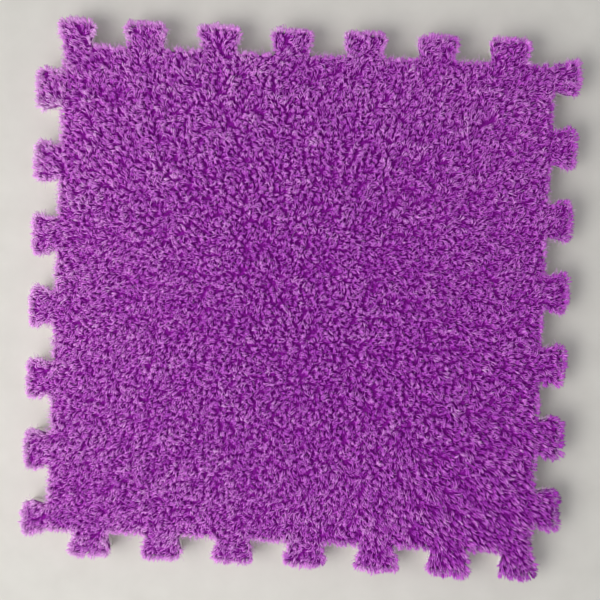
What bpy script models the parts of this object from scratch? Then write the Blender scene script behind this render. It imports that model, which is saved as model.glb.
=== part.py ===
"""Interlocking plush floor tile: a foam base with a long cut-pile cloth bonded on top.

Metres, +Z up. The tile lies on its foam base, with the origin on the floor under its centre.
One die cuts every layer, so all layers share one dovetail outline.
"""

import math

import bmesh
import bpy
from mathutils import Matrix, Vector

# Die-cut outline
MODULE = 0.300            # distance at which joined tiles repeat
TABS_PER_SIDE = 7
TAB_HEIGHT = 0.0135       # from a socket's root to a tab's tip
TAB_NECK = 0.0175         # width of a tab at its root
CORNER_OFFSET = 0.005     # from a corner of the root square to the middle line of the first tab
HEAD_RADIUS = 0.0035      # rounding of a tab's outer corners
ROOT_RADIUS = 0.0028      # rounding of a socket's inner corners
CUT_CLEARANCE = 0.0002    # taken off every cut edge, so that joined tiles slide together
ARC_STEP = math.radians(36)

# Layers, from the floor up
FOAM_THICKNESS = 0.006
FILM_THICKNESS = 0.0003
CLOTH_THICKNESS = 0.0006
PILE_HEIGHT = 0.0068      # standing height of the pile above the cloth
LAYER_GAP = 0.0003        # clearance between faces that are bonded together

# Pile edge: the outer tufts lean past the cut and the crown rounds over
PILE_LEAN = 0.0018        # how far the tips reach past the cut edge
PILE_CROWN = 0.0016       # how far the rounded top edge draws in from the cut edge
LEAN_HEIGHT = 0.62        # share of the pile's height at which it leans out furthest
CROWN_STEPS = 3

# Sizes that follow from the ones above
ROOT_SIDE = MODULE - TAB_HEIGHT
TAB_PITCH = (ROOT_SIDE - 2 * CORNER_OFFSET) / (TABS_PER_SIDE - 0.5)
TAB_HEAD = TAB_PITCH - TAB_NECK
TAB_FLARE = (TAB_HEAD - TAB_NECK) / 2
SHARPEST_FILLET = 0.0001


def side_corners():
    """Sharp corners of the edge that faces -Y, from -X to +X.

    The edge starts with an open socket and ends with a tab whose outer flank springs from the corner of
    the root square. Turned through four right angles, each tab faces a socket of the next tile.
    """
    root = -ROOT_SIDE / 2
    tip = root - TAB_HEIGHT
    corners = []
    for tab in reversed(range(TABS_PER_SIDE)):
        middle = ROOT_SIDE / 2 - CORNER_OFFSET - tab * TAB_PITCH
        outer_root = middle + TAB_NECK / 2 if tab else ROOT_SIDE / 2
        corners.append(Vector((middle - TAB_NECK / 2, root)))
        corners.append(Vector((middle - TAB_HEAD / 2, tip)))
        corners.append(Vector((outer_root + TAB_FLARE, tip)))
        corners.append(Vector((outer_root, root)))
    return corners


def die_corners():
    """Sharp corners of the whole die line, anticlockwise."""
    corners = []
    for quarter in range(4):
        turn = Matrix.Rotation(quarter * math.pi / 2, 2)
        corners += [turn @ corner for corner in side_corners()]
    return corners


def die_line(outset=0.0):
    """Points of the rounded die line, moved outwards by outset. Every outset gives as many points."""
    outset -= CUT_CLEARANCE
    corners = die_corners()
    points = []
    for index, corner in enumerate(corners):
        along = (corner - corners[index - 1]).normalized()
        away = (corners[(index + 1) % len(corners)] - corner).normalized()
        turn = math.atan2(along.x * away.y - along.y * away.x, along.dot(away))
        bulge = math.copysign(1, turn)
        half_turn = math.tan(abs(turn) / 2)
        outwards = Vector((along.y, -along.x))
        moved = corner + outset * (outwards + bulge * half_turn * along)
        radius = HEAD_RADIUS + outset if bulge > 0 else ROOT_RADIUS - outset
        radius = max(radius, SHARPEST_FILLET)
        start = moved - radius * half_turn * along
        centre = start - bulge * radius * outwards
        steps = math.ceil(abs(turn) / ARC_STEP)
        for step in range(steps + 1):
            points.append(centre + Matrix.Rotation(turn * step / steps, 2) @ (start - centre))
    return points


def loft(rings):
    """A closed mesh through rings of (outset, height), the first one lowest."""
    mesh = bmesh.new()
    loops = []
    for outset, height in rings:
        loops.append([mesh.verts.new((p.x, p.y, height)) for p in die_line(outset)])
    for lower, upper in zip(loops, loops[1:]):
        for index in range(len(lower)):
            before = index - 1
            mesh.faces.new((lower[before], lower[index], upper[index], upper[before]))
    mesh.faces.new(reversed(loops[0]))
    mesh.faces.new(loops[-1])
    return mesh


def sheet(thickness):
    """A flat die-cut layer that stands on height 0."""
    return loft([(0.0, 0.0), (0.0, thickness)])


def pile():
    """The pile's envelope: it leans out from the cut edge, then its crown rounds over and draws in."""
    rings = [(0.0, 0.0), (PILE_LEAN, LEAN_HEIGHT * PILE_HEIGHT)]
    for step in range(1, CROWN_STEPS + 1):
        angle = step / CROWN_STEPS * math.pi / 2
        outset = PILE_LEAN - (PILE_LEAN + PILE_CROWN) * (1 - math.cos(angle))
        height = PILE_HEIGHT * (LEAN_HEIGHT + (1 - LEAN_HEIGHT) * math.sin(angle))
        rings.append((outset, height))
    return loft(rings)


def finish(name, colour, roughness):
    """A matte, non-metallic surface."""
    material = bpy.data.materials.new(name)
    material.use_nodes = True
    shader = material.node_tree.nodes["Principled BSDF"]
    shader.inputs["Base Color"].default_value = (*colour, 1.0)
    shader.inputs["Roughness"].default_value = roughness
    shader.inputs["Metallic"].default_value = 0.0
    return material


def layer(name, mesh, height, tile, material):
    """A named layer of the laminate, with its underside at height."""
    data = bpy.data.meshes.new(name)
    mesh.to_mesh(data)
    mesh.free()
    data.materials.append(material)
    piece = bpy.data.objects.new(name, data)
    piece.location.z = height
    piece.parent = tile
    bpy.context.scene.collection.objects.link(piece)


for old in list(bpy.data.objects):
    bpy.data.objects.remove(old, do_unlink=True)

tile = bpy.data.objects.new("tile", None)
bpy.context.scene.collection.objects.link(tile)

film_height = FOAM_THICKNESS + LAYER_GAP
cloth_height = film_height + FILM_THICKNESS + LAYER_GAP
pile_height = cloth_height + CLOTH_THICKNESS + LAYER_GAP

layer("eva_foam_base", sheet(FOAM_THICKNESS), 0.0, tile, finish("eva_foam", (0.80, 0.78, 0.72), 0.75))
layer("hot_melt_film", sheet(FILM_THICKNESS), film_height, tile, finish("hot_melt", (0.72, 0.70, 0.62), 0.45))
layer("knit_ground_cloth", sheet(CLOTH_THICKNESS), cloth_height, tile, finish("knit", (0.16, 0.020, 0.20), 0.9))
layer("plush_pile", pile(), pile_height, tile, finish("plush", (0.25, 0.038, 0.30), 0.95))
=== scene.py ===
import math

import bmesh
import bpy
import numpy as np
from mathutils import Matrix, Vector, kdtree


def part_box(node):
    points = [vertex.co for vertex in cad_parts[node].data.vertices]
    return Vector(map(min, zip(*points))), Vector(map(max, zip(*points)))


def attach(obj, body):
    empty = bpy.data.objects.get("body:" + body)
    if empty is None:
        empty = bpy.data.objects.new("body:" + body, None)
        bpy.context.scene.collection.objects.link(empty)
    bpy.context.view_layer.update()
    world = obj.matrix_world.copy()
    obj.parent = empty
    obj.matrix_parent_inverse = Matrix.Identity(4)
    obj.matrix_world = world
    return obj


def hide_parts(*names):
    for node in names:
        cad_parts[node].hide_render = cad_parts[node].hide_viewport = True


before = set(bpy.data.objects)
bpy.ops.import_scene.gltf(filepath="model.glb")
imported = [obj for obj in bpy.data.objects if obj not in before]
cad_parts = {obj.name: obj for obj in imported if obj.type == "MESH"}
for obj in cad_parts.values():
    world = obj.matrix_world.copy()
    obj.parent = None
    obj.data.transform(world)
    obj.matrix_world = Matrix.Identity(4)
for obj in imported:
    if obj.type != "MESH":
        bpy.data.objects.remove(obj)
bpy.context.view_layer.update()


# Foam base. A sheet of pale closed-cell EVA foam, cut with a steel-rule die together with its cloth.
# The blade squeezes the foam, so the cut flanks spring back slightly hollow and the edges round over;
# the underside keeps the pebbled skin of the press. It lies loose on the floor.
FOAM_TOP = 0.00628           # the cloth's film starts just above
FOAM_EDGE = 0.00035          # rounding along the cut
FOAM_ARC = 0.3               # share of that rounding at which the middle of its arc lies
FOAM_HOLLOW = 0.00018        # depth of the sprung-back flank
FOAM_CELL = 0.00045          # grain of the cut flanks
FOAM_CELL_DEPTH = 0.00012
FOAM_PEBBLE = 0.0016         # grain of the pressed underside
FOAM_PEBBLE_DEPTH = 0.00030
FOAM_GRAIN_RIM = 0.35, 0.95  # from the middle of a grain out, where the painted shade of its rim starts and ends
FOAM_ROUGHNESS = 0.8
FOAM_SHINE = 0.3
FOAM_CUT_COLOUR = (0.90, 0.88, 0.84)
FOAM_PORE_SHADE_COLOUR = (0.70, 0.67, 0.62)
FOAM_SKIN_COLOUR = (0.86, 0.84, 0.80)


def read_die_line(node):
    """The cut outline of a flat CAD layer, anticlockwise, as an array of points, and its area."""
    mesh = bmesh.new()
    mesh.from_mesh(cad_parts[node].data)
    bmesh.ops.remove_doubles(mesh, verts=mesh.verts, dist=1e-6)
    middle = sum(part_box(node), Vector()).z / 2
    upper = [vert for vert in mesh.verts if vert.co.z > middle]
    bmesh.ops.delete(mesh, geom=upper, context="VERTS")
    start = next(edge.verts[0] for edge in mesh.edges if edge.is_boundary)
    points = []
    came_by = None
    here = start
    while here is not start or not points:
        points.append(here.co.xy)
        came_by = next(edge for edge in here.link_edges if edge.is_boundary and edge is not came_by)
        here = came_by.other_vert(here)
    mesh.free()
    points = np.array(points)
    following = np.roll(points, -1, axis=0)
    area = np.sum(points[:, 0] * following[:, 1] - points[:, 1] * following[:, 0]) / 2
    return (points if area > 0 else points[::-1]), abs(area)


def outward_miters(points):
    """For each outline point, the step that moves the outline out by 1 everywhere."""
    along = np.roll(points, -1, axis=0) - points
    along /= np.linalg.norm(along, axis=1, keepdims=True)
    normal = np.stack([along[:, 1], -along[:, 0]], axis=1)
    both = normal + np.roll(normal, 1, axis=0)
    return 2 * both / np.sum(both * both, axis=1, keepdims=True)


die_line, die_area = read_die_line("eva_foam_base")
die_miters = outward_miters(die_line)


def die_cut_layer(name, rings, drift=np.zeros(2)):
    """A closed layer with the die's outline, through rings of (outset, height) from the lowest up.

    drift is a sideways step per outline point, of which a ring takes the share that it gives third.
    """
    mesh = bmesh.new()
    loops = []
    for outset, height, *share in rings:
        outline = die_line + outset * die_miters + sum(share) * drift
        corners = [mesh.verts.new((x, y, height)) for x, y in outline]
        loops.append([mesh.edges.new(pair) for pair in zip(corners, corners[1:] + corners[:1])])
    for lower, upper in zip(loops, loops[1:]):
        bmesh.ops.bridge_loops(mesh, edges=lower + upper)
    bmesh.ops.holes_fill(mesh, edges=mesh.edges, sides=0)
    bmesh.ops.recalc_face_normals(mesh, faces=mesh.faces)
    for face in mesh.faces:
        face.smooth = len(face.verts) == 4
    data = bpy.data.meshes.new(name)
    mesh.to_mesh(data)
    mesh.free()
    piece = bpy.data.objects.new(name, data)
    bpy.context.scene.collection.objects.link(piece)
    return piece


def surface(name, roughness, sheen=0.0):
    """A new non-metallic material, with its tree and its shader."""
    material = bpy.data.materials.new(name)
    material.use_nodes = True
    tree = material.node_tree
    shader = tree.nodes["Principled BSDF"]
    shader.inputs["Roughness"].default_value = roughness
    shader.inputs["Sheen Weight"].default_value = sheen
    return material, tree, shader


def texture(tree, kind, **inputs):
    """A texture node in object coordinates, with its number inputs set by name."""
    place = tree.nodes.new("ShaderNodeTexCoord")
    node = tree.nodes.new(kind)
    tree.links.new(place.outputs["Object"], node.inputs["Vector"])
    for name, value in inputs.items():
        node.inputs[name].default_value = value
    return node


def colour_between(tree, shader, share, low, high):
    """Colours the shader from low to high by share, and returns the ramp."""
    ramp = tree.nodes.new("ShaderNodeValToRGB")
    ramp.color_ramp.elements[0].color = (*low, 1)
    ramp.color_ramp.elements[1].color = (*high, 1)
    tree.links.new(share, ramp.inputs["Fac"])
    tree.links.new(ramp.outputs["Color"], shader.inputs["Base Color"])
    return ramp.color_ramp


def raise_bumps(tree, shader, height, depth):
    """Bumps of that depth in metres on the shader's normal."""
    bump = tree.nodes.new("ShaderNodeBump")
    bump.inputs["Distance"].default_value = depth
    tree.links.new(height, bump.inputs["Height"])
    tree.links.new(bump.outputs["Normal"], shader.inputs["Normal"])


def foam_material(name, grain, depth, colour):
    """EVA foam with a grain of that size in metres, with painted shade in the hollows between the grains.
    """
    material, tree, shader = surface(name, FOAM_ROUGHNESS)
    shader.inputs["Specular IOR Level"].default_value = FOAM_SHINE
    cells = texture(tree, "ShaderNodeTexVoronoi", Scale=1 / grain, Randomness=1.0)
    ramp = colour_between(tree, shader, cells.outputs["Distance"], colour, FOAM_PORE_SHADE_COLOUR)
    ramp.elements[0].position, ramp.elements[1].position = FOAM_GRAIN_RIM
    raise_bumps(tree, shader, cells.outputs["Distance"], -depth)
    return material


foam = die_cut_layer("eva_foam_base_cut", [
    (-FOAM_EDGE, 0.0),
    (-FOAM_ARC * FOAM_EDGE, FOAM_ARC * FOAM_EDGE),
    (0.0, FOAM_EDGE),
    (-0.75 * FOAM_HOLLOW, 0.25 * FOAM_TOP),
    (-FOAM_HOLLOW, 0.5 * FOAM_TOP),
    (-0.75 * FOAM_HOLLOW, 0.75 * FOAM_TOP),
    (0.0, FOAM_TOP - FOAM_EDGE),
    (-FOAM_ARC * FOAM_EDGE, FOAM_TOP - FOAM_ARC * FOAM_EDGE),
    (-FOAM_EDGE, FOAM_TOP),
])
foam.data.materials.append(foam_material("eva_cut", FOAM_CELL, FOAM_CELL_DEPTH, FOAM_CUT_COLOUR))
foam.data.materials.append(foam_material("eva_skin", FOAM_PEBBLE, FOAM_PEBBLE_DEPTH, FOAM_SKIN_COLOUR))
for face in foam.data.polygons:
    face.material_index = int(face.loop_total > 4)
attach(foam, "root")
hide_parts("eva_foam_base")


# Hot-melt film. A thin adhesive web that was melted between the foam and the cloth in a flat press.
# It stays a little inside the cut, where the blade drew it back, and is hazy and slightly glossy.
FILM_LOW = 0.00630
FILM_TOP = 0.00678
FILM_RECESS = 0.00015        # how far the blade drew it back at its faces
FILM_BULGE = 0.6             # share of that recess at half height
FILM_WEB_SCALE = 900.0       # features of the web to a metre
FILM_WEB_DEPTH = 0.0001
FILM_ROUGHNESS = 0.4
FILM_COLOURS = (0.66, 0.62, 0.52), (0.76, 0.73, 0.64)

film = die_cut_layer("hot_melt_film_web", [
    (-FILM_RECESS, FILM_LOW),
    (-FILM_BULGE * FILM_RECESS, (FILM_LOW + FILM_TOP) / 2),
    (-FILM_RECESS, FILM_TOP),
])
material, tree, shader = surface("hot_melt", FILM_ROUGHNESS)
web = texture(tree, "ShaderNodeTexNoise", Scale=FILM_WEB_SCALE, Detail=3.0)
colour_between(tree, shader, web.outputs["Fac"], *FILM_COLOURS)
raise_bumps(tree, shader, web.outputs["Fac"], FILM_WEB_DEPTH)
film.data.materials.append(material)
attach(film, "root")
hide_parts("hot_melt_film")


# Ground cloth. A close warp knit that locks the pile yarns, dyed with them and pressed on the film.
# Its wales run from front to back, a millimetre apart.
CLOTH_LOW = 0.00680
CLOTH_TOP = 0.00750
CLOTH_EDGE = 0.00020         # rounding along the cut
CLOTH_WALE = 0.0010
CLOTH_WALE_DEPTH = 0.0003
CLOTH_ROUGHNESS = 0.9
CLOTH_SHEEN = 0.2
# Painted shade: the first colour lies in the grooves between the wales, the second on their ridges.
CLOTH_DYE_AND_GROOVE_SHADE = (0.20, 0.012, 0.25), (0.42, 0.030, 0.49)
WAVE_LENGTH = math.pi / 10   # of the wave texture at scale 1, in metres

cloth = die_cut_layer("knit_ground_cloth_laid", [
    (-CLOTH_EDGE, CLOTH_LOW),
    (0.0, (CLOTH_LOW + CLOTH_TOP) / 2),
    (-CLOTH_EDGE, CLOTH_TOP),
])
material, tree, shader = surface("ground_knit", CLOTH_ROUGHNESS, CLOTH_SHEEN)
wales = texture(tree, "ShaderNodeTexWave", Scale=WAVE_LENGTH / CLOTH_WALE, Distortion=1.5)
wales.inputs["Detail Scale"].default_value = 2.0
colour_between(tree, shader, wales.outputs["Fac"], *CLOTH_DYE_AND_GROOVE_SHADE)
raise_bumps(tree, shader, wales.outputs["Fac"], CLOTH_WALE_DEPTH)
cloth.data.materials.append(material)
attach(cloth, "root")
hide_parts("knit_ground_cloth")


# Plush pile. Long polyester yarns knitted into the ground cloth, cut, and tumbled until they curl.
# They gather in soft tufts that hook over at the top and fan out round the tile, longer and combed flat at
# the near right, and they lean past the cut. Each strand is a tapered tube rooted in the cloth.
LOCK_SPACING = 0.0070        # tufts lie in locks of about this size that lean alike
TUFT_SPACING = 0.0028
TUFT_MARGIN = 0.0004         # a tuft whose middle lies this little past the cut still counts
STRAND_SPACING = 0.00103
RIM_STRANDS = 12000          # extra strands along the cut, where the pile is seen edge on
RIM_DEPTH = 0.0013           # how far in from the cut those stand
ROOT_INSET = 0.0003          # no strand is rooted nearer to the cut than this
SOCKET_INSET = 0.0003        # and this much further in at the roots of the sockets
STRAND_ROOT = CLOTH_TOP - 0.0002
STRAND_LENGTH = 0.0077
STRAND_RADIUS = 0.00025
STRAND_PROFILE = {0.0: 0.80, 0.6875: 1.00, 0.875: 1.0, 1.0: 0.0}   # width by share of the length
STRAND_STEPS = 16            # straight steps that a strand's path is added up from
STRAND_BEND = 0.66           # share of the strand's length at which its hook begins
TUFT_GATHER = 0.66           # how far a tuft's strands draw together towards their tips
GATHER_POWER = 1.2           # above 1, they draw together more near the tips than near the roots
EDGE_REACH = 0.0022          # depth of the border strip whose strands lean out over the cut
EDGE_LIMIT = 6 * EDGE_REACH  # deeper in than this, the cut makes no difference
RIM_LIGHT_REACH = 0.0028          # depth of the border strip painted paler as painted light, most on the lamp's side at the left
RIM_LIGHT_SHADE = 0.55            # how much paler a strand with the full painted rim light is
RIM_LIGHT_LIFT = 0.45             # and how far up its pale part then starts
PILE_BLOCKS = 3              # the pile is split into this many blocks each way
POINTS_AT_ONCE = 4000        # points whose distance to the whole cut is taken in one go
tile_reach = np.abs(die_line).max()
rng = np.random.default_rng(11)


def scattered(spacing, jitter):
    """Points of a jittered triangular grid over the tile's square."""
    reach = tile_reach + 2 * spacing
    rows = np.arange(-reach, reach, spacing * math.sqrt(0.75))
    columns = np.arange(-reach, reach, spacing)
    x, y = np.meshgrid(columns, rows)
    x = x + np.where(np.arange(len(rows)) % 2, spacing / 2, 0.0)[:, None]
    points = np.stack([x.ravel(), y.ravel()], axis=1)
    return points + rng.uniform(-jitter, jitter, points.shape) * spacing


def along_cut(count):
    """Points spread along the cut, between ROOT_INSET and RIM_DEPTH inside it."""
    span = np.roll(die_line, -1, axis=0) - die_line
    runs = np.linalg.norm(span, axis=1)
    ends = np.cumsum(runs)
    place = rng.uniform(0, ends[-1], count)
    run = np.searchsorted(ends, place)
    inward = np.stack([-span[run, 1], span[run, 0]], axis=1) / runs[run, None]
    share = (ends[run] - place) / runs[run]
    points = die_line[run] + (1 - share)[:, None] * span[run]
    return points + rng.uniform(ROOT_INSET, RIM_DEPTH, count)[:, None] * inward


def edge_depth(points):
    """How deep each point lies inside the cut, and the unit step from it towards the nearest cut."""
    span = np.roll(die_line, -1, axis=0) - die_line
    depth = np.full(len(points), EDGE_LIMIT)
    step = np.zeros_like(points)
    socket_line = np.abs(die_line).max(axis=1).min()
    near = np.flatnonzero(np.abs(points).max(axis=1) > socket_line - EDGE_LIMIT)
    for some in np.array_split(near, 1 + len(near) // POINTS_AT_ONCE):
        offset = points[some, None] - die_line
        share = np.clip(np.sum(offset * span, axis=2) / np.sum(span * span, axis=1), 0, 1)
        gap = share[:, :, None] * span - offset
        distance = np.linalg.norm(gap, axis=2)
        closest = distance.argmin(axis=1)[:, None]
        distance = np.take_along_axis(distance, closest, axis=1)
        gap = np.take_along_axis(gap, closest[:, :, None], axis=1)[:, 0]
        rises = (offset[:, :, 1] >= 0) & (offset[:, :, 1] < span[:, 1])
        falls = (offset[:, :, 1] < 0) & (offset[:, :, 1] >= span[:, 1])
        left = span[:, 0] * offset[:, :, 1] - span[:, 1] * offset[:, :, 0] > 0
        inside = np.sum(rises & left, axis=1) > np.sum(falls & ~left, axis=1)
        sign = np.where(inside, 1.0, -1.0)
        depth[some] = sign * distance[:, 0]
        step[some] = sign[:, None] * gap / np.maximum(distance, 1e-9)
    return depth, step


def tile_shares(points):
    """The points' x and y, each from -1 to 1 across the tile."""
    return (points / tile_reach).T


def tab_share(points):
    """From 0 at the roots of the sockets to 1 at the tips of the tabs."""
    reach = np.abs(die_line).max(axis=1)
    return np.clip((np.abs(points).max(axis=1) - reach.min()) / np.ptp(reach), 0, 1)


COMB_EVERYWHERE = 0.10       # how flat the whole pile is stroked, out of 1
COMB_NEAR_RIGHT = 1.5        # how much flatter towards the near right corner
COMB_FAR_LEFT = 0.5          # and towards the far left one
COMB_CALM = 0.8              # share of the swirls and curls that stroking takes out
LAY_OUTWARDS = 0.75          # the pile leans this much outwards,
LAY_DRAWN = 0.42             # this much along a diagonal
LAY_SWIRL = 0.14             # and this much in slow swirls
DRAWN_TURN = 0.34, 0.94      # cosine and sine of twice that diagonal's angle


def combed(points):
    """From 0, where the pile is left curly, to 1, where it was stroked flat and straight."""
    x, y = tile_shares(points)
    near_right = np.maximum(x, 0) * np.maximum(-y, 0)
    far_left = np.maximum(-x, 0) * np.maximum(y, 0)
    return np.clip(COMB_EVERYWHERE + COMB_NEAR_RIGHT * near_right + COMB_FAR_LEFT * far_left, 0, 1)


def lay_of_pile(points):
    """The way and the strength with which the tumbled pile leans: outwards, drawn along one diagonal."""
    x, y = tile_shares(points)
    swirl = np.stack([np.sin(7.0 * y + 2.0 * x) + np.sin(3.0 * x - 5.0 * y + 1.0),
                      np.cos(6.0 * x - 2.5 * y) + np.sin(4.0 * x + 4.5 * y + 2.0)], axis=1)
    outwards = np.stack([x, y], axis=1)
    cosine, sine = DRAWN_TURN
    drawn = np.stack([cosine * x + sine * y, sine * x - cosine * y], axis=1)
    curly = 1 - COMB_CALM * combed(points)[:, None]
    return LAY_OUTWARDS * outwards + curly * (LAY_DRAWN * drawn + LAY_SWIRL * swirl)


def strand_template():
    """One straight strand of unit radius and height, closed at both ends, as vertices and triangles."""
    mesh = bmesh.new()
    lift = Matrix.Translation((0, 0, 0.5))
    bmesh.ops.create_cone(mesh, cap_ends=True, segments=3, radius1=1, radius2=0, depth=1, matrix=lift)
    for height in list(STRAND_PROFILE)[1:-1]:
        everything = mesh.verts[:] + mesh.edges[:] + mesh.faces[:]
        bmesh.ops.bisect_plane(mesh, geom=everything, plane_co=(0, 0, height), plane_no=(0, 0, 1))
    bmesh.ops.remove_doubles(mesh, verts=mesh.verts, dist=1e-5)
    bmesh.ops.triangulate(mesh, faces=mesh.faces)
    bmesh.ops.recalc_face_normals(mesh, faces=mesh.faces)
    mesh.verts.index_update()
    verts = np.array([vert.co for vert in mesh.verts])
    verts[:, :2] /= np.maximum(np.linalg.norm(verts[:, :2], axis=1, keepdims=True), 1e-6)
    faces = np.array([[vert.index for vert in face.verts] for face in mesh.faces])
    mesh.free()
    return verts, faces


def bent_strands(roots, gather, length, radius, bend, lean, first_lean, azimuth, curl):
    """One bent template for each root, as strands by vertices by xyz.

    A strand leaves its root at first_lean from upright, hooks over from the share bend of its length on
    until it stands at lean, and swings round by curl about its azimuth. gather draws its tip sideways.
    """
    verts, _ = strand_template()
    shares = (np.arange(STRAND_STEPS) + 0.5) / STRAND_STEPS
    hook = np.clip((shares - bend[:, None]) / (1 - bend[:, None]), 0, 1)
    tilt = first_lean[:, None] + (lean - first_lean)[:, None] * hook
    bearing = azimuth[:, None] + curl[:, None] * (shares - 0.5)
    level = np.stack([np.cos(bearing), np.sin(bearing)], axis=2)
    heading = np.concatenate([np.sin(tilt)[:, :, None] * level, np.cos(tilt)[:, :, None]], axis=2)
    path = np.zeros((len(roots), STRAND_STEPS + 1, 3))
    path[:, 1:] = np.cumsum(heading, axis=1) * (length / STRAND_STEPS)[:, None, None]
    ends = np.linspace(0, 1, STRAND_STEPS + 1)
    path[:, :, :2] += roots[:, None] + ends[:, None] ** GATHER_POWER * gather[:, None]
    path[:, :, 2] += STRAND_ROOT
    ring = np.rint(verts[:, 2] * STRAND_STEPS).astype(int)
    forward = np.gradient(path, axis=1)[:, ring]
    forward /= np.linalg.norm(forward, axis=2, keepdims=True)
    level = level[:, np.minimum(ring, STRAND_STEPS - 1)]
    side = np.stack([-level[:, :, 1], level[:, :, 0], np.zeros_like(level[:, :, 0])], axis=2)
    side -= forward * np.sum(side * forward, axis=2, keepdims=True)
    side /= np.linalg.norm(side, axis=2, keepdims=True)
    over = np.cross(forward, side)
    width = np.interp(verts[:, 2], list(STRAND_PROFILE), list(STRAND_PROFILE.values()))
    across = verts[:, 0, None] * side + verts[:, 1, None] * over
    return path[:, ring] + radius[:, None, None] * width[:, None] * across


PILE_SPAN = 0.0105           # from the roots up to the top of the shade map
SHADE_WIDTH = 0.012          # width of a strand's band on that map
SHADE_FOOT = 0.01            # where on the map's second axis the roots lie
SHADE_HEIGHT = 0.97          # and how much of that axis the pile takes up
SHADE_SPLAY = 0.005          # how far a strand's sides lie apart along it
SHADE_MARGIN = 0.001         # kept free at both ends of it


def strand_piece(name, points, shade, material, lift):
    """One mesh of bent strands, with a map whose first axis is a strand's shade and second its height.

    lift is where on the second axis the roots lie, so that a higher one gives paler strands.
    """
    verts, faces = strand_template()
    count = len(points)
    corners = (faces[None] + len(verts) * np.arange(count)[:, None, None]).reshape(-1)
    data = bpy.data.meshes.new(name)
    data.vertices.add(count * len(verts))
    data.vertices.foreach_set("co", points.astype(np.float32).ravel())
    data.loops.add(len(corners))
    data.loops.foreach_set("vertex_index", corners.astype(np.int32))
    data.polygons.add(len(corners) // 3)
    data.polygons.foreach_set("loop_start", np.arange(0, len(corners), 3, dtype=np.int32))
    data.polygons.foreach_set("use_smooth", np.ones(len(corners) // 3, dtype=bool))
    across = shade[:, None] + SHADE_WIDTH / 2 * verts[:, 0]
    up = lift + (1 - lift) * (points[:, :, 2] - STRAND_ROOT) / PILE_SPAN
    up = SHADE_FOOT + SHADE_HEIGHT * up + SHADE_SPLAY * verts[:, 1]
    spots = np.stack([across, np.clip(up, SHADE_MARGIN, 1 - SHADE_MARGIN)], axis=2).reshape(-1, 2)
    shade_map = data.uv_layers.new(name="OFBake")
    shade_map.data.foreach_set("uv", spots[corners].astype(np.float32).ravel())
    data.update(calc_edges=True)
    data.validate()
    data.materials.append(material)
    piece = bpy.data.objects.new(name, data)
    bpy.context.scene.collection.objects.link(piece)
    return piece


YARN_ROUGHNESS = 0.6
YARN_SHINE = 0.06
YARN_SHEEN = 0.05
YARN_SHEEN_ROUGHNESS = 0.5
YARN_SHEEN_TINT = (0.95, 0.70, 1.0)
# Colours by height up the pile: the darkening low down is painted shade and the pale tops are painted
# highlight.
DEEP_DYE_AND_PAINTED_SHADE = {0.0: (0.20, 0.004, 0.25), 0.35: (0.33, 0.008, 0.41), 0.50: (0.51, 0.030, 0.61),
                0.62: (0.67, 0.098, 0.77), 0.75: (0.77, 0.190, 0.86)}
PALE_DYE_AND_PAINTED_SHADE = {0.0: (0.36, 0.014, 0.43), 0.35: (0.54, 0.032, 0.62), 0.50: (0.84, 0.160, 0.89),
                0.62: (0.98, 0.420, 0.98), 0.75: (0.98, 0.640, 0.98)}


def pile_material():
    """Dyed polyester, darker low in the pile as painted shade and paler near the top as painted highlight,
    with a shade of its own for each tuft.
    """
    material, tree, shader = surface("plush_yarn", YARN_ROUGHNESS, YARN_SHEEN)
    shader.inputs["Specular IOR Level"].default_value = YARN_SHINE
    shader.inputs["Sheen Roughness"].default_value = YARN_SHEEN_ROUGHNESS
    shader.inputs["Sheen Tint"].default_value = (*YARN_SHEEN_TINT, 1)
    shade_map = tree.nodes.new("ShaderNodeUVMap")
    shade_map.uv_map = "OFBake"
    axes = tree.nodes.new("ShaderNodeSeparateXYZ")
    tree.links.new(shade_map.outputs["UV"], axes.inputs["Vector"])
    tone = tree.nodes.new("ShaderNodeMix")
    tone.data_type = "RGBA"
    tree.links.new(axes.outputs["X"], tone.inputs["Factor"])
    for side, colours in zip("AB", (DEEP_DYE_AND_PAINTED_SHADE, PALE_DYE_AND_PAINTED_SHADE)):
        ramp = tree.nodes.new("ShaderNodeValToRGB")
        while len(ramp.color_ramp.elements) < len(colours):
            ramp.color_ramp.elements.new(0.5)
        for stop, (height, colour) in zip(ramp.color_ramp.elements, colours.items()):
            stop.position = height
            stop.color = (*colour, 1)
        tree.links.new(axes.outputs["Y"], ramp.inputs["Fac"])
        socket = next(one for one in tone.inputs if one.name == side and one.type == "RGBA")
        tree.links.new(ramp.outputs["Color"], socket)
    mixed = next(one for one in tone.outputs if one.type == "RGBA")
    tree.links.new(mixed, shader.inputs["Base Color"])
    return material


def nearest(points, centres):
    """For each point, the number of the centre that lies nearest."""
    tree = kdtree.KDTree(len(centres))
    for index, centre in enumerate(centres):
        tree.insert((*centre, 0), index)
    tree.balance()
    return np.array([tree.find((*point, 0))[1] for point in points])


LOCK_SWING = 0.50            # spread of the locks' bearings, in radians
TUFT_SWING = 0.75            # and of the tufts' within a lock
TUFT_HOOK = math.radians(130)            # how far over its tip hooks, from upright
TUFT_HOOK_SPREAD = math.radians(22)
TUFT_CURL_SPREAD = math.radians(60)
LOCK_LENGTH_SPREAD = 0.04    # as shares of the strands' length
TUFT_LENGTH_SPREAD = 0.055
LOCK_SHADE_SPREAD = 0.08     # shades run from 0, deep, to 1, pale
TUFT_SHADE_SPREAD = 0.14
BORDER_PALING = 0.28            # how much paler the border is than the middle
FAR_RIGHT_SHADE = 0.20       # how much paler the far right corner is
PAINTED_LEFT_LIGHT = 0.18            # painted light: how much paler the left edge, on the lamp's side, is than the middle

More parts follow.
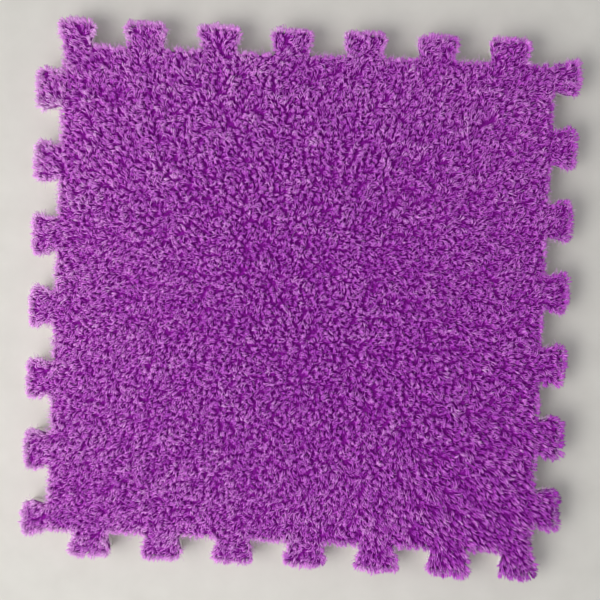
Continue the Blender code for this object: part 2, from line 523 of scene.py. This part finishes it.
tufts = scattered(TUFT_SPACING, jitter=0.30)
tufts = tufts[edge_depth(tufts)[0] > -TUFT_MARGIN]
locks = scattered(LOCK_SPACING, jitter=0.45)
lock = nearest(tufts, locks)
tuft_swing = rng.normal(0, LOCK_SWING, len(locks))[lock] + rng.normal(0, TUFT_SWING, len(tufts))
tuft_lean = rng.normal(TUFT_HOOK, TUFT_HOOK_SPREAD, len(tufts))
tuft_curl = rng.normal(0, TUFT_CURL_SPREAD, len(tufts))
tuft_length = rng.normal(1, LOCK_LENGTH_SPREAD, len(locks))[lock]
tuft_length += rng.normal(0, TUFT_LENGTH_SPREAD, len(tufts))
tuft_shade = rng.normal(0.5, LOCK_SHADE_SPREAD, len(locks))[lock]
tuft_shade += rng.normal(0, TUFT_SHADE_SPREAD, len(tufts))
x, y = tile_shares(tufts)
pale_border = np.maximum(np.abs(x), np.abs(y)) ** 2 - 0.5
far_right = np.maximum(x, 0) * np.maximum(y, 0)
# The last term is painted light, paler towards the lamp on the left and darker to the right.
tuft_shade += BORDER_PALING * pale_border + FAR_RIGHT_SHADE * far_right - PAINTED_LEFT_LIGHT * x

EDGE_PULL = 0.4              # how strongly the cut turns the lay outwards
TAB_PULL = 0.8               # and how much more so at the tips of the tabs
COMB_HOLD = 0.7              # share of an inward lean that stroking holds even at the cut
SOCKET_CALM = 0.7            # share of the lean that is lost at the roots of the sockets
SWING_FIRMNESS = 0.5         # keeps tufts with little lean from swinging right round
SWING_CALM = 0.75            # share of a tuft's swing that is lost at the cut or by stroking
STRAND_SWING = 0.48          # spread of the strands' bearings within a tuft, in radians
COMB_SWING = 0.30            # and how much of that stroking takes out
HOOK_SPREAD = 0.2            # of the strands' hooks within a tuft, in radians
HOOK_RANGE = 0.6, 2.8
EDGE_HOOK = 0.2              # how much further strands hook over at the cut
COMB_HOOK = 0.5              # and how much less where they were stroked
FOOT_LEAN = 0.06             # how far a strand leans at its foot, in radians
LAY_LEAN = 0.15              # and how much further with the lay
COMB_LEAN = 0.10             # and with the lay where it was stroked
FOOT_SPREAD = 0.06
FOOT_RANGE = 0.0, 0.7
LENGTH_SPREAD = 0.07
COMB_LENGTH = 0.08           # how much longer stroked strands are
SOCKET_LENGTH = 0.15         # and how much shorter those at the roots of the sockets
RADIUS_SPREAD = 0.12
EDGE_RADIUS = 0.2            # how much thinner strands are at the cut
COMB_BEND = 0.30             # how much earlier stroked strands start to hook
EDGE_GATHER = 0.35           # how much looser tufts are at the cut
COMB_GATHER = 0.2            # and how much tighter where they were stroked
SHADE_SPREAD = 0.10
SHADE_RANGE = 0.03, 0.97


def plant_tufts(roots):
    """Strands on those of the roots that lie inside the cut, as their points, shades, painted rim light and
    roots.
    """
    depth, outward = edge_depth(roots)
    kept = depth > ROOT_INSET + SOCKET_INSET * (1 - tab_share(roots))
    roots, depth, outward = roots[kept], depth[kept], outward[kept]
    count = len(roots)
    own = nearest(roots, tufts)
    edge = np.exp(-depth / EDGE_REACH)
    comb = combed(roots)
    x, _ = tile_shares(roots)
    # Painted light: the border strip is paler, most at the left near the lamp and not at all at the right.
    painted_rim_light = np.exp(-depth / RIM_LIGHT_REACH) * (1 - x) / 2
    out = tab_share(roots)
    way = lay_of_pile(roots)
    inwards = np.maximum(-np.sum(way * outward, axis=1), 0)
    pull = EDGE_PULL + TAB_PULL * out + inwards * (1 - COMB_HOLD * comb)
    way += (pull * edge)[:, None] * outward
    strength = np.linalg.norm(way, axis=1) * (1 - SOCKET_CALM * edge * (1 - out))
    swing = tuft_swing[own] / (SWING_FIRMNESS + strength) * (1 - SWING_CALM * np.maximum(edge, comb))
    azimuth = np.arctan2(way[:, 1], way[:, 0]) + swing
    azimuth += rng.normal(0, STRAND_SWING - COMB_SWING * comb, count)
    lean = np.clip(tuft_lean[own] + rng.normal(0, HOOK_SPREAD, count), *HOOK_RANGE)
    lean = lean + EDGE_HOOK * edge - COMB_HOOK * comb
    first_lean = FOOT_LEAN + (LAY_LEAN + COMB_LEAN * comb) * strength
    first_lean = np.clip(first_lean + rng.normal(0, FOOT_SPREAD, count), *FOOT_RANGE)
    length = STRAND_LENGTH * tuft_length[own] * rng.normal(1, LENGTH_SPREAD, count)
    length *= 1 + COMB_LENGTH * comb
    length *= 1 - SOCKET_LENGTH * edge * (1 - out)
    radius = STRAND_RADIUS * rng.normal(1, RADIUS_SPREAD, count) * (1 - EDGE_RADIUS * edge)
    bend = STRAND_BEND - COMB_BEND * comb
    tightness = TUFT_GATHER * (1 - EDGE_GATHER * edge + COMB_GATHER * comb)
    gather = tightness[:, None] * (tufts[own] - roots)
    shade = 0.5 + (tuft_shade[own] - 0.5) * (1 + comb) + rng.normal(0, SHADE_SPREAD, count)
    shade = np.clip(shade + RIM_LIGHT_SHADE * painted_rim_light, *SHADE_RANGE)
    curl = tuft_curl[own] * (1 - COMB_CALM * comb)
    points = bent_strands(roots, gather, length, radius, bend, lean, first_lean, azimuth, curl)
    return points, shade, painted_rim_light, roots


FUZZ_RIM = 6000              # loose fibres along the cut
FUZZ_TOP_SPACING = 0.0042    # between the loose fibres over the top
FUZZ_PULL = 1.5              # how strongly the cut turns them outwards
FUZZ_SWING = 0.7             # angles in radians
FUZZ_HOOK = 1.7
FUZZ_HOOK_SPREAD = 0.5
FUZZ_FOOT_LEAN = 0.15
FUZZ_EDGE_LEAN = 0.25        # how much further their feet lean at the cut
FUZZ_FOOT_SPREAD = 0.12
FUZZ_FOOT_RANGE = 0.0, 0.9
FUZZ_LENGTH = 0.98           # as a share of a strand's length
FUZZ_LENGTH_SPREAD = 0.1
FUZZ_LENGTH_RANGE = 0.7, 1.2
FUZZ_RADIUS = 0.000080
FUZZ_RADIUS_SPREAD = 0.15
FUZZ_BEND_RANGE = 0.3, 0.7
FUZZ_SHADE_RANGE = 0.6, 0.95
FUZZ_CURL_SPREAD = 1.2
FUZZ_LIFT = 0.55             # how far up the shade map their roots lie


def plant_fuzz(roots):
    """Single loose fibres that stand clear of the tufts, as their points and shades."""
    depth, outward = edge_depth(roots)
    kept = depth > ROOT_INSET
    roots, depth, outward = roots[kept], depth[kept], outward[kept]
    count = len(roots)
    edge = np.exp(-depth / EDGE_REACH)
    way = lay_of_pile(roots) + FUZZ_PULL * edge[:, None] * outward
    azimuth = np.arctan2(way[:, 1], way[:, 0]) + rng.normal(0, FUZZ_SWING, count)
    lean = rng.normal(FUZZ_HOOK, FUZZ_HOOK_SPREAD, count)
    first_lean = FUZZ_FOOT_LEAN + FUZZ_EDGE_LEAN * edge + rng.normal(0, FUZZ_FOOT_SPREAD, count)
    first_lean = np.clip(first_lean, *FUZZ_FOOT_RANGE)
    length = np.clip(rng.normal(FUZZ_LENGTH, FUZZ_LENGTH_SPREAD, count), *FUZZ_LENGTH_RANGE)
    length = STRAND_LENGTH * length
    radius = FUZZ_RADIUS * rng.normal(1, FUZZ_RADIUS_SPREAD, count)
    bend = rng.uniform(*FUZZ_BEND_RANGE, count)
    shade = rng.uniform(*FUZZ_SHADE_RANGE, count)
    curl = rng.normal(0, FUZZ_CURL_SPREAD, count)
    gather = np.zeros_like(roots)
    points = bent_strands(roots, gather, length, radius, bend, lean, first_lean, azimuth, curl)
    return points, shade


BODY_GAP = 0.00002           # between the cloth and the foot of the pile's dense part
BODY_TOP = 0.0108            # the pile is too dense to see into below this height
BODY_DRIFT = 0.0006          # how far the dense part leans along the lay
BODY_CLUMP = 0.0016          # size of its clumps
BODY_CLUMP_DEPTH = 0.0008
BODY_ROUGHNESS = 0.9
BODY_SHINE = 0.1
# Painted shade: the dense part of the pile is coloured dark for the shade down among the strands, darkest
# in the gaps between its clumps.
BODY_DYE_AND_PAINTED_SHADE = (0.42, 0.018, 0.49), (0.18, 0.006, 0.22)

body_height = BODY_TOP - CLOTH_TOP
body = die_cut_layer("plush_pile_body", [
    (-0.0012, CLOTH_TOP + BODY_GAP, 0.0),
    (-0.0010, CLOTH_TOP + 0.35 * body_height, 0.4),
    (-0.0009, CLOTH_TOP + 0.7 * body_height, 0.9),
    (-0.0012, CLOTH_TOP + 0.9 * body_height, 1.0),
    (-0.0018, BODY_TOP, 0.8),
], drift=BODY_DRIFT * lay_of_pile(die_line))
material, tree, shader = surface("matted_pile", BODY_ROUGHNESS)
shader.inputs["Specular IOR Level"].default_value = BODY_SHINE
clumps = texture(tree, "ShaderNodeTexVoronoi", Scale=1 / BODY_CLUMP, Randomness=1.0)
colour_between(tree, shader, clumps.outputs["Distance"], *BODY_DYE_AND_PAINTED_SHADE)
raise_bumps(tree, shader, clumps.outputs["Distance"], -BODY_CLUMP_DEPTH)
body.data.materials.append(material)

yarn = pile_material()
pile_pieces = [body]
points, shade, painted_rim_light, roots = plant_tufts(scattered(STRAND_SPACING, jitter=0.35))
block_size = 2 * tile_reach / PILE_BLOCKS
block = np.clip((roots + block_size * PILE_BLOCKS / 2) // block_size, 0, PILE_BLOCKS - 1).astype(int)
for row in range(PILE_BLOCKS):
    for column in range(PILE_BLOCKS):
        chosen = (block[:, 0] == column) & (block[:, 1] == row)
        name = f"plush_pile_{row + 1}_{column + 1}"
        lift = RIM_LIGHT_LIFT * painted_rim_light[chosen, None]
        pile_pieces.append(strand_piece(name, points[chosen], shade[chosen], yarn, lift))
points, shade, painted_rim_light, _ = plant_tufts(along_cut(RIM_STRANDS))
pile_pieces.append(strand_piece("plush_pile_rim", points, shade, yarn, RIM_LIGHT_LIFT * painted_rim_light[:, None]))
fuzz_roots = np.concatenate([along_cut(FUZZ_RIM), scattered(FUZZ_TOP_SPACING, jitter=0.5)])
points, shade = plant_fuzz(fuzz_roots)
pile_pieces.append(strand_piece("plush_pile_fuzz", points, shade, yarn, FUZZ_LIFT))
for piece in pile_pieces:
    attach(piece, "root")
    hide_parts("plush_pile")


# Studio. A pale matte floor under soft light: a wide lamp at the near left, and an even sky.
# The camera looks down almost straight, turned a little, with the far edge slightly nearer.
FLOOR_SIZE = 40.0
FLOOR_MOTTLE_SCALE = 60.0    # features of its mottling to a metre
FLOOR_ROUGHNESS = 0.7
FLOOR_COLOURS = (0.63, 0.605, 0.545), (0.73, 0.705, 0.64)
SKY_COLOUR = (0.92, 0.94, 1.0)
SKY_LEVEL = 0.50
BACKDROP_COLOUR = (0.31, 0.305, 0.295)
KEY_PLACE = Vector((-0.47, -0.25, 0.43))
KEY_SIZE = 0.9
KEY_SPREAD = math.radians(85)
KEY_POWER = 1.96
IMAGE_WIDTH = 600
PIXELS_PER_METRE = 1692
CAMERA_AIM = Vector((0.0010, 0.0, 0.011))
CAMERA_DISTANCE = 0.70
CAMERA_TILT = math.radians(2.2)
CAMERA_SIDE_TILT = math.radians(0.4)
CAMERA_ROLL = math.radians(2.65)

mesh = bmesh.new()
bmesh.ops.create_grid(mesh, x_segments=1, y_segments=1, size=FLOOR_SIZE / 2)
data = bpy.data.meshes.new("floor")
mesh.to_mesh(data)
mesh.free()
floor = bpy.data.objects.new("floor", data)
bpy.context.scene.collection.objects.link(floor)
material, tree, shader = surface("pale_floor", FLOOR_ROUGHNESS)
mottle = texture(tree, "ShaderNodeTexNoise", Scale=FLOOR_MOTTLE_SCALE, Detail=4.0)
colour_between(tree, shader, mottle.outputs["Fac"], *FLOOR_COLOURS)
floor.data.materials.append(material)

world = bpy.data.worlds.new("studio")
world.use_nodes = True
tree = world.node_tree
sky = tree.nodes["Background"]
sky.inputs["Color"].default_value = (*SKY_COLOUR, 1)
sky.inputs["Strength"].default_value = SKY_LEVEL
backdrop = tree.nodes.new("ShaderNodeBackground")
backdrop.inputs["Color"].default_value = (*BACKDROP_COLOUR, 1)
backdrop.inputs["Strength"].default_value = 1.0
seen = tree.nodes.new("ShaderNodeMixShader")
tree.links.new(tree.nodes.new("ShaderNodeLightPath").outputs["Is Camera Ray"], seen.inputs["Fac"])
tree.links.new(sky.outputs["Background"], seen.inputs[1])
tree.links.new(backdrop.outputs["Background"], seen.inputs[2])
tree.links.new(seen.outputs["Shader"], tree.nodes["World Output"].inputs["Surface"])
bpy.context.scene.world = world

lamp = bpy.data.lights.new("key", "AREA")
lamp.shape = "DISK"
lamp.size = KEY_SIZE
lamp.spread = KEY_SPREAD
lamp.energy = KEY_POWER
key = bpy.data.objects.new("key", lamp)
key.location = KEY_PLACE
key.rotation_euler = KEY_PLACE.to_track_quat("Z", "Y").to_euler()
bpy.context.scene.collection.objects.link(key)

lens = bpy.data.cameras.new("camera")
toward_camera = Vector((math.sin(CAMERA_SIDE_TILT), math.sin(CAMERA_TILT), 0))
toward_camera.z = math.sqrt(1 - toward_camera.length_squared)
rightward = Vector((math.cos(CAMERA_ROLL), math.sin(CAMERA_ROLL), 0))
rightward = (rightward - rightward.dot(toward_camera) * toward_camera).normalized()
upward = toward_camera.cross(rightward)
turned = Matrix((rightward, upward, toward_camera)).transposed().to_4x4()
camera = bpy.data.objects.new("camera", lens)
camera.matrix_world = Matrix.Translation(CAMERA_AIM + CAMERA_DISTANCE * toward_camera) @ turned
lens.lens = PIXELS_PER_METRE * CAMERA_DISTANCE * lens.sensor_width / IMAGE_WIDTH
bpy.context.scene.collection.objects.link(camera)
bpy.context.scene.camera = camera
bpy.context.scene.view_settings.view_transform = "Standard"
